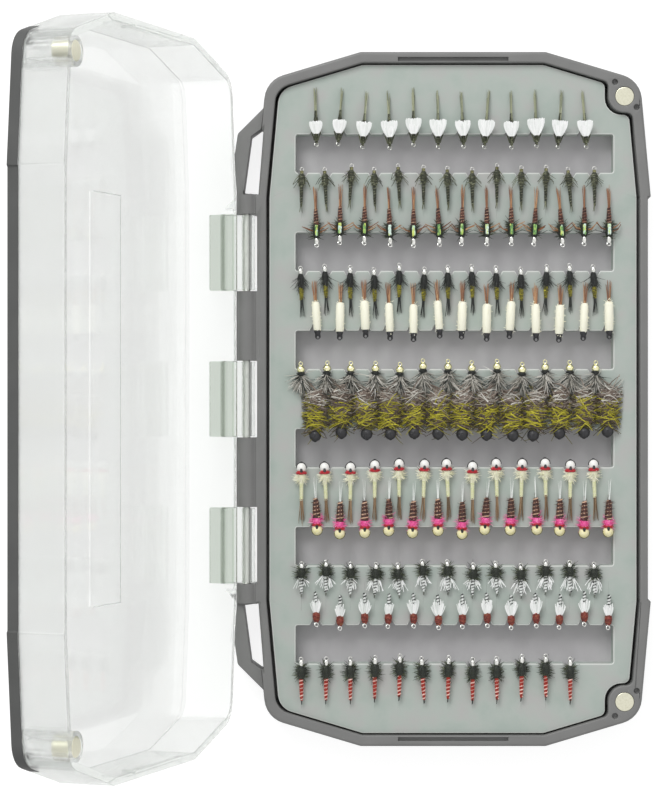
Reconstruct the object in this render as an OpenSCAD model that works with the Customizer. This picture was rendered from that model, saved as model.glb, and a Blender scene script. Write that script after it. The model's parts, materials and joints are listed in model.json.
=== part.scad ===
// Slim magnetic fly box, shown open: a gray tray with slit foam full of flies, a clear lid on a
// three-lug side hinge, and two pairs of corner magnets that hold the lid shut.
// Origin: middle of the tray's underside. +X is the latch side, +Y the top end, +Z up.

/* [Tray] */
// Overall length of the tray
tray_l = 184; // [176:1:192]
// Width across the straight sides
tray_w = 104.8; // [100:0.2:110]
// Width of each flat end
end_w = 49; // [40:1:56]
// How far each corner sits back from the end
corner_drop = 7.5; // [5:0.5:10]
// How far each corner sits in from the straight side
corner_in = 2.8; // [1.5:0.1:4]
// Length of the straight sides
side_l = 107.4; // [106:0.2:112]
// Height of the tray
tray_h = 10; // [9.6:0.1:12]
// Thickness of the floor
floor_t = 1.6; // [1.2:0.1:1.8]
// Width of the rim
rim_w = 2.9; // [2.6:0.1:3.2]
// Corner rounding of the outside
corner_r = 7; // [4:0.5:8]
// Depth of the thumb recess on the latch side
recess_d = 0.75; // [0.3:0.05:1]
// Width of the locating groove in each end rim
groove_w = 1.15; // [1:0.05:1.3]
// Length of the locating groove
groove_l = 29.2; // [20:0.2:36]
// Depth of the locating groove
groove_d = 1; // [0.8:0.1:1.5]
// Diameter of the small blind holes beside the magnets
pip_d = 1.6; // [1:0.1:1.8]

/* [Lanyard loops] */
// How far each loop stands out from the side
loop_out = 5.6; // [5:0.1:6.5]
// Width of the loop's arm
loop_arm = 2.6; // [2:0.1:3]
// Height of the loop's underside above the table
loop_z = 1.5; // [1:0.1:3]
// Thickness of the loop
loop_h = 7.3; // [5:0.1:7.5]
// Where the loop leaves the tray, below the corner
loop_start = 6.1; // [5.5:0.1:7]
// Length along the box of the loop's slanted shoulder
loop_shoulder = 8; // [7:0.1:9]

/* [Foam] */
// Thickness of the backing sheet
backing_t = 2; // [1.5:0.1:2.2]
// Thickness of the slit foam
foam_t = 5; // [4:0.1:5.2]
// Gap between the foam and the long sides
foam_gap_side = 0.75; // [0.3:0.05:1]
// Gap between the foam and the ends
foam_gap_end = 0.4; // [0.2:0.05:0.8]
// Foam and rim left beside each window, on average
window_side = 10.3; // [9:0.1:12]
// How far the windows sit off the middle, towards the latch side
window_shift = 0.4; // [0:0.1:0.5]
// Distance from the tray's end to the near edge of the first window
window_end = 21.85; // [21:0.05:23]
// Width of a slit
slit_w = 0.5; // [0.45:0.05:0.7]
// Length of a slit
slit_l = 11.99; // [11.5:0.01:12.6]
// Foam left between a slit's end and the next window
slit_stop = 3.95; // [3:0.05:5]
// Distance from one slit to the next
slit_pitch = 6.47; // [6.2:0.01:6.6]
// Distance from a window's hinge-side end to the first slit below it
slit_side = 1.5; // [1.2:0.05:1.7]
// How far the slits above a window are set along from those below it
slit_shift = 3.8; // [3:0.05:3.85]
// Rounding of a slit's mouth
slit_mouth = 0.8; // [0.5:0.1:1.2]

/* [Lid] */
// Height of the lid from its rim to its top
lid_h = 14.5; // [13:0.1:18]
// Thickness of the lid's walls
lid_wall = 2; // [1.8:0.1:2.2]
// Thickness of the lid's panel
panel_t = 1.8; // [1.5:0.1:2.2]
// Gap between the closed lid and the tray
seam = 0.1; // [0.05:0.05:0.3]
// Depth of the thumb recess in the lid's latch wall
lid_recess = 0.4; // [0.2:0.05:0.6]
// Length of the plate recess on the panel
plate_l = 102; // [90:1:110]
// Width of the plate recess
plate_w = 16; // [12:1:20]
// Depth of the plate recess
plate_d = 0.35; // [0.2:0.05:0.6]
// Play of the locating tab in its groove
tab_play = 0.16; // [0.1:0.02:0.2]

/* [Grip] */
// Depth of the soft grip down the latch wall
grip_depth = 2.8; // [2:0.1:4]
// Width of the soft grip on the panel
grip_top = 3.6; // [2.5:0.1:5]
// Thickness of the soft grip
grip_t = 1; // [0.7:0.1:1.2]
// How far the grip wraps round each corner, from the latch side
grip_wrap = 11.6; // [9:0.2:14]

/* [Hinge] */
// Angle from closed to fully open
lid_open = 110; // [100:1:110]
// Distance of the pin's axis outside the tray
hinge_out = 2.4; // [2.4:0.05:2.8]
// Depth of the pin's axis below the tray's rim
hinge_drop = 1.8; // [1.7:0.05:2.2]
// Diameter of the hinge pin
pin_d = 2; // [1.6:0.1:2.2]
// Outer diameter of the lid's barrels
barrel_d = 4.7; // [4:0.1:4.8]
// Length of each lid lug
lug_l = 19.8; // [16:0.2:20]
// Distance from one lug to the next
lug_pitch = 38.8; // [36:0.2:40]
// Length of each end knuckle of the tray
end_knuckle = 5.1; // [4:0.1:6]
// Side play of a lug between the knuckles
lug_play = 0.3; // [0.2:0.05:0.5]
// Running clearance of the pin in the lugs, on radius
pin_run = 0.05; // [0.03:0.01:0.08]

/* [Magnets] */
// Diameter of a magnet
magnet_d = 5; // [4:0.5:5]
// Length of a magnet
magnet_l = 5; // [4:0.5:6]
// Distance of a magnet's axis from the tray's side
magnet_side = 7; // [6.5:0.1:7.6]
// Distance of a magnet's axis from the tray's end
magnet_end = 11.8; // [11:0.1:12.4]
// Wall round a tray magnet
boss_wall = 1.8; // [1.5:0.1:2]
// Wall round a lid magnet
lid_boss_wall = 1.25; // [1:0.05:1.5]
// Glue gap round a magnet, on radius
glue = 0.05; // [0.03:0.01:0.1]

/* [Flies] */
// Wire diameter of the hooks
wire_d = 0.4; // [0.35:0.01:0.42]
// Height of a hook's shank above the foam
shank_up = 1.3; // [1.3:0.05:1.6]
// Radius of a hook's bend
bend_r = 1.7; // [1.4:0.1:1.9]
// Radius of a hook's eye
eye_r = 0.6; // [0.45:0.05:0.7]
// Length of the hook's point beyond the bend
point_l = 3; // [2:0.1:3.2]

/* [Hidden] */

EPS = 0.01;
ROUND_STEPS = 6;
SPIN_FN = 20;
HOLE_FN = 48;
WINDOWS = 6;

TRAY_COLOR = [0.37, 0.37, 0.37];
LID_COLOR = [0.85, 0.9, 0.87, 0.45];
GRIP_COLOR = [0.36, 0.37, 0.36];
FOAM_COLOR = [0.68, 0.72, 0.69];
BACKING_COLOR = [0.6, 0.6, 0.6];
STEEL = [0.72, 0.72, 0.7];
NICKEL = [0.85, 0.84, 0.79];
GOLD = [0.83, 0.68, 0.3];
BLACK = [0.09, 0.09, 0.09];
WHITE = [0.92, 0.92, 0.9];
OLIVE = [0.35, 0.34, 0.2];
PEACOCK = [0.12, 0.2, 0.14];
RUST = [0.5, 0.22, 0.12];
CREAM = [0.93, 0.91, 0.78];

side_x = tray_w / 2;
side_y = side_l / 2;
end_x = end_w / 2;
end_y = tray_l / 2;
corner_x = side_x - corner_in;
corner_y = end_y - corner_drop;
magnet_x = side_x - magnet_side;
magnet_y = end_y - magnet_end;
window_w = tray_w - 2 * window_side;
strip_l = slit_l + slit_stop;
window_l = (tray_l - 2 * window_end - (WINDOWS - 1) * strip_l) / WINDOWS;
window_pitch = window_l + strip_l;
window_x0 = window_shift - window_w / 2;
window_x1 = window_shift + window_w / 2;
first_up = window_x0 + slit_side;
first_down = first_up + slit_shift;
slits = 1 + floor((window_x1 - slit_mouth - first_down) / slit_pitch);
backing_z = floor_t;
foam_z = backing_z + backing_t;
foam_top = foam_z + foam_t;
hinge_x = -side_x - hinge_out;
hinge_z = tray_h - hinge_drop;
lid_z = tray_h + seam;
lid_top = lid_z + lid_h;
magnet_r = magnet_d / 2;
boss_r = magnet_r + boss_wall;
lid_boss_r = magnet_r + lid_boss_wall;
barrel_r = barrel_d / 2;
pin_r = pin_d / 2;
lug_reach = lug_pitch + lug_l / 2;
knuckle_end = lug_reach + lug_play + end_knuckle;
groove_in = 0.3;
pocket_r = 5;
pocket_side_r = 8;
notch_r = 1.8;
end_r = 2;
// Places of the two small holes, seen from their magnet
PIP_FAR = [-2.55, 3.76];
PIP_NEAR = [3.2, -2.9];
// Height of a knuckle's square corner over the pin's axis
knuckle_up = 1.6;
// Room left at the tray's wall for a turning lug
lug_room = 0.5;
// Space between one fly's hackle and the next
hackle_gap = 0.87;
wall_cut_x = hinge_x + barrel_r + lug_room;
hackle_w = slit_pitch - hackle_gap;
shank_z = foam_top + shank_up;
shank_clear = wire_d / 2 + 0.1;
eye_back = 2 * eye_r + 0.05;
eye_room = norm([eye_r, wire_d / 2]) + 0.05;

// Corner points of the outline, anticlockwise from the lower right side.
OUTLINE = [
  [side_x, -side_y], [side_x, side_y], [corner_x, corner_y], [end_x, end_y],
  [-end_x, end_y], [-corner_x, corner_y], [-side_x, side_y], [-side_x, -side_y],
  [-corner_x, -corner_y], [-end_x, -end_y], [end_x, -end_y], [corner_x, -corner_y]
];
// Rounding at each of those points.
OUTLINE_R = [
  pocket_side_r, pocket_side_r, corner_r, end_r, end_r, corner_r,
  pocket_side_r, pocket_side_r, corner_r, end_r, end_r, corner_r
];

// ---- outline functions ----

function unit(v) = v / norm(v);
function outward(a, b) = let (v = unit(b - a)) [v.y, -v.x];
function meet(n, c, m, d) =
  let (det = n.x * m.y - n.y * m.x) [(c * m.y - d * n.y) / det, (n.x * d - m.x * c) / det];
function flatter(n, side, end) = abs(n.x) > abs(n.y) ? side : end;

// Points of a convex outline moved inwards: by side where an edge faces across, by end where it
// faces along.
function inset(pts, side, end) =
  let (count = len(pts))
  [for (i = [0 : count - 1])
    let (
      before = pts[(i + count - 1) % count],
      here = pts[i],
      after = pts[(i + 1) % count],
      n = outward(before, here),
      m = outward(here, after)
    )
    meet(n, n * here - flatter(n, side, end), m, m * here - flatter(m, side, end))];

// Arc in place of the corner at p, between the points before and after it.
function corner_arc(before, p, after, r) =
  let (
    u = unit(before - p),
    v = unit(after - p),
    half = acos(max(-1, min(1, u * v))) / 2,
    centre = p + unit(u + v) * r / sin(half),
    start = p + u * r / tan(half) - centre,
    stop = p + v * r / tan(half) - centre,
    a = atan2(start.y, start.x),
    turn = atan2(start.x * stop.y - start.y * stop.x, start * stop)
  )
  [for (k = [0 : ROUND_STEPS]) centre + r * [cos(a + turn * k / ROUND_STEPS),
                                             sin(a + turn * k / ROUND_STEPS)]];

function rounded(pts, radii) =
  let (count = len(pts))
  [for (i = [0 : count - 1])
    each radii[i] > 0
      ? corner_arc(pts[(i + count - 1) % count], pts[i], pts[(i + 1) % count], radii[i])
      : [pts[i]]];

function along_edge_at_x(a, b, x) = [x, a.y + (b.y - a.y) * (x - a.x) / (b.x - a.x)];
function along_edge_at_y(a, b, y) = [a.x + (b.x - a.x) * (y - a.y) / (b.y - a.y), y];

// Outline of the pocket, or of what lies in it, with a notch round each magnet's boss.
function pocket_points(gap_side, gap_end) =
  let (
    q = inset(OUTLINE, rim_w + gap_side, rim_w + gap_end),
    x = magnet_x - boss_r - gap_side,
    y = magnet_y - boss_r - gap_end
  )
  [q[0], q[1],
   along_edge_at_y(q[1], q[2], y), [x, y], along_edge_at_x(q[2], q[3], x),
   q[3], q[4], q[5], q[6], q[7], q[8], q[9], q[10],
   along_edge_at_x(q[10], q[11], x), [x, -y], along_edge_at_y(q[11], q[0], -y)];

POCKET_R = [
  pocket_side_r, pocket_side_r, notch_r, boss_r, notch_r, end_r, end_r, pocket_r,
  pocket_side_r, pocket_side_r, pocket_r, end_r, end_r, notch_r, boss_r, notch_r
];

function window_y(i) = ((WINDOWS - 1) / 2 - i) * window_pitch;

// ---- outline shapes ----

module box_outline() {
  polygon(rounded(OUTLINE, OUTLINE_R));
}

module inner_outline(wall) {
  polygon(rounded(inset(OUTLINE, wall, wall), [for (r = OUTLINE_R) max(r - wall, 1)]));
}

module pocket_outline(gap_side, gap_end) {
  polygon(rounded(pocket_points(gap_side, gap_end), POCKET_R));
}

module thumb_recess(depth) {
  reach = side_y - depth;
  polygon([[side_x - depth, -reach], [side_x + 1, -side_y - 1],
           [side_x + 1, side_y + 1], [side_x - depth, reach]]);
}

// Draws a shape of the X-Z plane from y0 to y1.
module along_y(y0, y1) {
  translate([0, y1, 0])
    rotate([90, 0, 0])
      linear_extrude(y1 - y0)
        children();
}

module both_ends() {
  children();
  mirror([0, 1, 0]) children();
}

// ---- tray ----

module knuckle_profile() {
  r = barrel_r + 0.25;
  top = hinge_z + knuckle_up;
  translate([hinge_x, hinge_z]) circle(r, $fn = HOLE_FN);
  polygon([[hinge_x - r, top], [hinge_x - r, hinge_z - r], [-side_x, 2],
           [-side_x + rim_w / 2, 2], [-side_x + rim_w / 2, top]]);
}

module tray_knuckles() {
  gap = lug_l / 2 + lug_play;
  along_y(gap, lug_pitch - gap) knuckle_profile();
  along_y(gap - lug_pitch, -gap) knuckle_profile();
  along_y(lug_reach + lug_play, knuckle_end) knuckle_profile();
  along_y(-knuckle_end, -lug_reach - lug_play) knuckle_profile();
}

// The loop's outer edge starts on the tray near the corner and ends on the end knuckle.
module loop_outline() {
  out = -side_x - loop_out;
  top = corner_y - loop_start;
  low = top - loop_shoulder;
  foot = knuckle_end - end_knuckle;
  polygon([[-corner_x + rim_w / 2, top], [-corner_x + 0.5, top],
           [out + 0.9, low], [out, low - 6], [out + 0.6, side_y + 0.8],
           [out + 0.6, foot], [-side_x + rim_w / 2, foot]]);
}

module loop_slot() {
  out = -side_x - loop_out + loop_arm;
  low = corner_y - loop_start - loop_shoulder;
  foot = knuckle_end + 0.1;
  polygon([[-corner_x - 0.6, low + 1.6], [out + 2, low - 0.7], [out, foot + 0.5],
           [-side_x + 0.8, foot]]);
}

module tray_solid() {
  difference() {
    linear_extrude(tray_h)
      difference() {
        box_outline();
        thumb_recess(recess_d);
      }
    // Room for the lugs along the hinge side
    for (i = [-1 : 1])
      translate([wall_cut_x - 10, i * lug_pitch - lug_l / 2 - lug_play, -1])
        cube([10, lug_l + 2 * lug_play, tray_h + 2]);
  }
  tray_knuckles();
  both_ends()
    translate([0, 0, loop_z])
      linear_extrude(loop_h)
        loop_outline();
}

module base_tray() {
  groove_y = end_y - rim_w + groove_in;
  color(TRAY_COLOR)
    difference() {
      tray_solid();
      translate([0, 0, floor_t])
        linear_extrude(tray_h)
          pocket_outline(0, 0);
      both_ends() {
        translate([0, 0, -1])
          linear_extrude(tray_h + 2)
            loop_slot();
        translate([magnet_x, magnet_y, tray_h - magnet_l - EPS])
          cylinder(r = magnet_r + glue, h = magnet_l + 1, $fn = HOLE_FN);
        for (p = [PIP_FAR, PIP_NEAR])
          translate([magnet_x + p.x, magnet_y + p.y, tray_h - 1.2])
            cylinder(d = pip_d, h = 2, $fn = 24);
        translate([-groove_l / 2, groove_y, tray_h - groove_d])
          cube([groove_l, groove_w, groove_d + 1]);
      }
      along_y(-knuckle_end + 1, knuckle_end + 1)
        translate([hinge_x, hinge_z])
          circle(pin_r + 0.02, $fn = HOLE_FN);
    }
}

module hinge_pin() {
  color(STEEL)
    translate([hinge_x, -knuckle_end + 1.2, hinge_z])
      rotate([-90, 0, 0])
        cylinder(r = pin_r, h = 2 * knuckle_end - 1.6, $fn = HOLE_FN);
}

module tray_magnet(side) {
  color(NICKEL)
    translate([magnet_x, side * magnet_y, tray_h - magnet_l])
      cylinder(r = magnet_r, h = magnet_l - 0.05, $fn = HOLE_FN);
}

module tray_magnet_top() {
  tray_magnet(1);
}

module tray_magnet_bottom() {
  tray_magnet(-1);
}

// ---- foam ----

module foam_backing() {
  color(BACKING_COLOR)
    translate([0, 0, backing_z])
      linear_extrude(backing_t)
        pocket_outline(foam_gap_side, foam_gap_end);
}

// One slit's points, walked along +X when dir is 1 and along -X when dir is -1.
function slit_points(x, y, dir, out) =
  let (h = slit_w / 2)
  [[x - dir * slit_mouth, y], [x - dir * h, y + out * slit_mouth],
   [x - dir * h, y + out * slit_l], [x + dir * h, y + out * slit_l],
   [x + dir * h, y + out * slit_mouth], [x + dir * slit_mouth, y]];

function window_points(i) =
  let (
    low = window_y(i) - window_l / 2,
    high = window_y(i) + window_l / 2,
    last = slits - 1
  )
  [[window_x0, low],
   for (k = [0 : last]) each slit_points(first_up + k * slit_pitch, low, 1, -1),
   [window_x1, low], [window_x1, high],
   for (k = [last : -1 : 0]) each slit_points(first_down + k * slit_pitch, high, -1, 1),
   [window_x0, high]];

module slit_foam() {
  color(FOAM_COLOR)
    translate([0, 0, foam_z])
      linear_extrude(foam_t)
        difference() {
          pocket_outline(foam_gap_side, foam_gap_end);
          for (i = [0 : WINDOWS - 1])
            polygon(window_points(i));
        }
}

// ---- lid, drawn closed and then turned open about the pin ----

module opened() {
  translate([hinge_x, 0, hinge_z])
    rotate([0, -lid_open, 0])
      translate([-hinge_x, 0, -hinge_z])
        children();
}

module lid_outline() {
  difference() {
    box_outline();
    thumb_recess(lid_recess);
  }
}

// The band that the soft grip fills along the latch edge.
module grip_solid() {
  band_x = side_x - grip_wrap;
  translate([0, 0, lid_top - grip_depth])
    difference() {
      linear_extrude(grip_depth + EPS)
        intersection() {
          lid_outline();
          translate([band_x, -tray_l])
            square([tray_w, 2 * tray_l]);
        }
      translate([0, 0, -1])
        linear_extrude(grip_depth - grip_t + 1)
          inner_outline(grip_t + lid_recess);
      translate([0, 0, -1])
        linear_extrude(grip_depth + 2)
          inner_outline(grip_top);
    }
}

module lug_profile() {
  pad_top = lid_z + 6.5;
  translate([hinge_x, hinge_z]) circle(barrel_r, $fn = HOLE_FN);
  inner_x = hinge_x + barrel_r * 0.98;
  polygon([[hinge_x - barrel_r * 0.94, hinge_z + 0.8], [hinge_x, hinge_z],
           [inner_x, hinge_z], [inner_x, lid_z + EPS], [-side_x + lid_wall / 2, lid_z + EPS],
           [-side_x + lid_wall / 2, lid_z + 4.6], [hinge_x + 0.6, lid_z + 3.4]]);
  polygon([[-side_x + EPS, lid_z], [-side_x + lid_wall + 1.2, lid_z],
           [-side_x + lid_wall + 1.2, pad_top], [-side_x + EPS, pad_top]]);
}

module lid_walls() {
  difference() {
    translate([0, 0, lid_z])
      linear_extrude(lid_h)
        lid_outline();
    translate([0, 0, lid_z - 1])
      linear_extrude(lid_h - panel_t + 1)
        inner_outline(lid_wall);
    translate([-plate_w / 2, -plate_l / 2, lid_top - plate_d])
      cube([plate_w, plate_l, 1]);
  }
}

// A tube from the rim to the panel in each latch corner, with the magnet at its rim end.
module lid_boss() {
  translate([magnet_x, magnet_y, lid_z])
    cylinder(r = lid_boss_r, h = lid_h - panel_t + EPS, $fn = HOLE_FN);
}

module lid_tab() {
  tab_w = groove_w - 2 * tab_play;
  tab_l = groove_l - 4 * tab_play;
  drop = groove_d * 0.7;
  translate([-tab_l / 2, end_y - rim_w + groove_in + tab_play, lid_z - drop])
    cube([tab_l, tab_w, drop + 3]);
}

module lid_closed() {
  difference() {
    union() {
      lid_walls();
      both_ends() {
        lid_boss();
        lid_tab();
      }
      for (i = [-1 : 1])
        along_y(i * lug_pitch - lug_l / 2, i * lug_pitch + lug_l / 2)
          lug_profile();
    }
    grip_solid();
    both_ends()
      translate([magnet_x, magnet_y, lid_z - 1])
        cylinder(r = magnet_r + glue, h = lid_h - panel_t, $fn = HOLE_FN);
    along_y(-knuckle_end, knuckle_end)
      translate([hinge_x, hinge_z])
        circle(pin_r + pin_run, $fn = HOLE_FN);
  }
}

module lid_shell() {
  color(LID_COLOR) opened() lid_closed();
}

module lid_grip() {
  color(GRIP_COLOR) opened() intersection() {
    grip_solid();
    translate([0, -tray_l, lid_z])
      cube([tray_w, 2 * tray_l, lid_h]);
  }
}

module lid_magnet(side) {
  color(NICKEL)
    opened()
      translate([magnet_x, side * magnet_y, lid_z + 0.05])
        cylinder(r = magnet_r, h = magnet_l - 0.05, $fn = HOLE_FN);
}

module lid_magnet_top() {
  lid_magnet(1);
}

module lid_magnet_bottom() {
  lid_magnet(-1);
}

// ---- flies ----
// A row is [window, side, empty, reach, shank]. side 1 lies above its window with the heads
// pointing down, side -1 below it with the heads up. reach is how far the eye's tip stands over
// the window, and empty is how many slits hold no fly. u below is the distance back from the
// eye's tip along the hook.

EMERGER = [0, 1, 1, 3.7, 8.5];
OLIVE_ROW = [0, -1, 0, 1.9, 7.5];
FLASHBACK = [1, 1, 0, 3.6, 10];
SPIDER = [1, -1, 0, 1.5, 7.6];
GRUB = [2, 1, 0, 2.6, 9];
GOLDHEAD = [2, -1, 0, 2.3, 8];
BUGGER = [3, 1, 0, 2.9, 10];
PALE = [3, -1, 0, 2.1, 9.4];
HOTSPOT = [4, 1, 0, 2.7, 9.6];
PEACOCK_ROW = [4, -1, 0, 1.2, 7.8];
RUST_ROW = [5, 1, 0, 0.7, 7];
RIBBED = [5, -1, 1, 2.4, 9.6];

module each_fly(row) {
  side = row[1];
  first = side > 0 ? first_down : first_up;
  edge_y = window_y(row[0]) + side * window_l / 2;
  for (k = [0 : slits - 1 - row[2]])
    translate([first + k * slit_pitch, edge_y - side * row[3], shank_z])
      rotate([0, 0, side > 0 ? 0 : 180])
        children();
}

function hook_points(shank) =
  let (w = wire_d / 2, steps = 8)
  [[eye_r + 0.4, w],
   for (k = [0 : steps]) [shank + (bend_r + w) * sin(180 * k / steps),
                          -bend_r + (bend_r + w) * cos(180 * k / steps)],
   [shank - point_l, -2 * bend_r],
   for (k = [steps : -1 : 0]) [shank + (bend_r - w) * sin(180 * k / steps),
                               -bend_r + (bend_r - w) * cos(180 * k / steps)],
   [eye_r + 0.4, -w]];

module hooks(row) {
  color(STEEL)
    each_fly(row)
      translate([-wire_d / 2, 0, 0])
        rotate([90, 0, 90])
          linear_extrude(wire_d)
            difference() {
              union() {
                polygon(hook_points(row[4]));
                translate([eye_r, 0]) circle(eye_r, $fn = 16);
              }
              translate([eye_r, 0]) circle(eye_r / 2, $fn = 16);
            }
}

// Solid of revolution round the shank. profile is a list of [u, radius], bored for the wire. One
// that starts ahead of the eye's back is bored wider there, so the eye sits inside it.
module spun(profile) {
  first_u = profile[0][0];
  last_u = profile[len(profile) - 1][0];
  front = first_u < eye_back
    ? [[shank_clear, eye_back], [eye_room, eye_back], [eye_room, first_u]]
    : [[shank_clear, first_u]];
  rotate([-90, 0, 0])
    rotate_extrude($fn = SPIN_FN)
      polygon([for (p = profile) [p[1], p[0]], [shank_clear, last_u], each front]);
}

// Profile of a bead, from its front hole to where it meets the bore behind.
function ball(u, r) =
  let (a = -acos((eye_room + 0.05) / r), b = acos((shank_clear + 0.03) / r))
  [for (k = [0 : 6]) [u + r * sin(a + (b - a) * k / 6), r * cos(a + (b - a) * k / 6)]];

module spun_row(row, paint, profile) {
  color(paint) each_fly(row) spun(profile);
}

// A flat, spiky spread of fibres round the shank, from u0 to u1, w wide.
module fan(u0, u1, w, spikes, thick) {
  difference() {
    translate([0, 0, -thick / 2])
      linear_extrude(thick)
        polygon([
          [0.3, u0],
          for (k = [0 : spikes])
            let (f = k / spikes, r = k % 2 == 0 ? 1 : 0.72)
            [w / 2 * sin(90 * f) ^ 0.6 * r + 0.3 * (1 - f), u0 + (u1 - u0) * f],
          for (k = [spikes : -1 : 0])
            let (f = k / spikes, r = k % 2 == 0 ? 1 : 0.72)
            [-w / 2 * sin(90 * f) ^ 0.6 * r - 0.3 * (1 - f), u0 + (u1 - u0) * f],
          [-0.3, u0]
        ]);
    translate([-shank_clear, u0 - 1, -2 * thick])
      cube([2 * shank_clear, u1 - u0 + 2, 2 * thick + shank_clear]);
  }
}

module emerger_hooks() { hooks(EMERGER); }

module emerger_bodies() {
  spun_row(EMERGER, OLIVE, [[1.3, 0.5], [1.8, 0.8], [3, 0.7], [8, 0.5], [8.7, 0.42]]);
}

module emerger_wings() {
  color(WHITE)
    each_fly(EMERGER)
      translate([0, 0, 0.86])
        linear_extrude(0.35)
          polygon([[-0.5, 2.6], [0.5, 2.6], [2.2, 7.6], [1.1, 7], [0, 7.9], [-1.1, 7], [-2.2, 7.6]]);
}

module olive_hooks() { hooks(OLIVE_ROW); }

module olive_beads() { spun_row(OLIVE_ROW, STEEL, ball(1.4, 0.75)); }

module olive_bodies() {
  spun_row(OLIVE_ROW, OLIVE, [[2.2, 0.6], [3.2, 1.15], [5.6, 1.1], [7, 0.55], [7.7, 0.4]]);
}

module flashback_hooks() { hooks(FLASHBACK); }

module flashback_beads() { spun_row(FLASHBACK, NICKEL, ball(1.8, 1.15)); }

module flashback_bodies() {
  spun_row(FLASHBACK, [0.36, 0.2, 0.12], [[3, 0.9], [4, 1.25], [5.8, 1.15], [7, 0.85], [10.2, 0.5]]);
}

module flashback_legs() {
  color(RUST)
    each_fly(FLASHBACK)
      difference() {
        for (a = [35, -35])
          translate([0, 4.6, -0.1])
            rotate([0, 0, a])
              translate([-0.15, 0, 0])
                cube([0.3, 3.4, 0.3]);
        translate([-1.3, 3, -1])
          cube([2.6, 3.2, 2]);
        translate([-0.95, 3, -1])
          cube([1.9, 8, 2]);
      }
}

module spider_hooks() { hooks(SPIDER); }

module spider_beads() { spun_row(SPIDER, NICKEL, ball(1.6, 1.1)); }

module spider_bodies() {
  spun_row(SPIDER, [0.3, 0.3, 0.18], [[2.8, 0.9], [4.4, 1.2], [6, 0.8], [7.8, 0.45]]);
}

module grub_hooks() { hooks(GRUB); }

module grub_heads() { spun_row(GRUB, BLACK, [[1.3, 0.6], [1.6, 0.9], [2.4, 0.95]]); }

module grub_bodies() {
  spun_row(GRUB, CREAM, [[2.5, 1.05], [2.9, 1.2], [9, 1.2], [9.3, 0.9]]);
}

module goldhead_hooks() { hooks(GOLDHEAD); }

module goldhead_beads() { spun_row(GOLDHEAD, GOLD, ball(1.9, 1.2)); }

module goldhead_hackles() {
  color([0.42, 0.4, 0.36]) each_fly(GOLDHEAD) fan(3.2, 8.6, hackle_w - 1, 6, 2);
}

module bugger_hooks() { hooks(BUGGER); }

module bugger_beads() { spun_row(BUGGER, BLACK, ball(1.8, 1.6)); }

module bugger_hackles() {
  color([0.4, 0.38, 0.1]) each_fly(BUGGER) fan(3.6, 11, hackle_w, 8, 2.2);
}

module pale_hooks() { hooks(PALE); }

module pale_beads() { spun_row(PALE, WHITE, ball(1.7, 1.4)); }

module pale_bodies() {
  spun_row(PALE, CREAM, [[3.1, 1.1], [3.8, 1.2], [6, 0.9], [9.6, 0.42]]);
}

module hotspot_hooks() { hooks(HOTSPOT); }

module hotspot_beads() { spun_row(HOTSPOT, GOLD, ball(1.7, 1.35)); }

module hotspot_bodies() {
  spun_row(HOTSPOT, RUST, [[3.2, 1.2], [5, 1.22], [5.6, 1], [9.8, 0.7]]);
}

module peacock_hooks() { hooks(PEACOCK_ROW); }

module peacock_beads() { spun_row(PEACOCK_ROW, NICKEL, ball(1.6, 1.05)); }

module peacock_bodies() {
  spun_row(PEACOCK_ROW, PEACOCK, [[2.7, 0.9], [3.4, 1.24], [4.6, 1.2], [5.2, 0.6], [8, 0.4]]);
}

module peacock_wings() {
  color(WHITE)
    each_fly(PEACOCK_ROW)
      translate([0, 0, 1.26])
        linear_extrude(0.3)
          polygon([[-0.4, 4.4], [0.4, 4.4], [1.5, 8.2], [0.5, 8.8], [0, 8], [-0.5, 8.8], [-1.5, 8.2]]);
}

module rust_hooks() { hooks(RUST_ROW); }

module rust_beads() { spun_row(RUST_ROW, NICKEL, [[1.25, 0.4], [1.35, 0.5], [1.55, 0.5]]); }

module rust_bodies() {
  spun_row(RUST_ROW, RUST, [[1.6, 0.7], [2.4, 1.1], [4, 1], [4.6, 0.6], [7.2, 0.4]]);
}

module rust_wings() {
  color(WHITE)
    each_fly(RUST_ROW)
      translate([0, 0, 1.12])
        linear_extrude(0.3)
          polygon([[-0.4, 3.4], [0.4, 3.4], [1.4, 7.4], [0, 6.8], [-1.4, 7.4]]);
}

module ribbed_hooks() { hooks(RIBBED); }

module ribbed_beads() { spun_row(RIBBED, NICKEL, [[1.3, 0.7], [1.5, 0.95], [2.6, 0.95], [2.8, 0.7]]); }

module ribbed_bodies() {
  spun_row(RIBBED, [0.68, 0.22, 0.14],
           [[2.9, 0.9], [3.6, 1.24], [4.8, 1.2], [5.4, 0.85], [9.8, 0.45]]);
}

base_tray();
foam_backing();
slit_foam();
hinge_pin();
tray_magnet_top();
tray_magnet_bottom();
lid_shell();
lid_grip();
lid_magnet_top();
lid_magnet_bottom();
emerger_hooks();
emerger_bodies();
emerger_wings();
olive_hooks();
olive_beads();
olive_bodies();
flashback_hooks();
flashback_beads();
flashback_bodies();
flashback_legs();
spider_hooks();
spider_beads();
spider_bodies();
grub_hooks();
grub_heads();
grub_bodies();
goldhead_hooks();
goldhead_beads();
goldhead_hackles();
bugger_hooks();
bugger_beads();
bugger_hackles();
pale_hooks();
pale_beads();
pale_bodies();
hotspot_hooks();
hotspot_beads();
hotspot_bodies();
peacock_hooks();
peacock_beads();
peacock_bodies();
peacock_wings();
rust_hooks();
rust_beads();
rust_bodies();
rust_wings();
ribbed_hooks();
ribbed_beads();
ribbed_bodies();
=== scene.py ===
"""Looks of the slim fly box: gray tray, slit foam, clear lid, soft grip and twelve rows of flies.

Lengths are in millimetres and turned into metres by MM. A fly is drawn in its own frame: w runs
sideways, u back from the eye's tip along the shank, and h up from the shank's axis.
"""

import json
import math
import random

import bmesh
import bpy
from mathutils import Matrix, Vector


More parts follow.
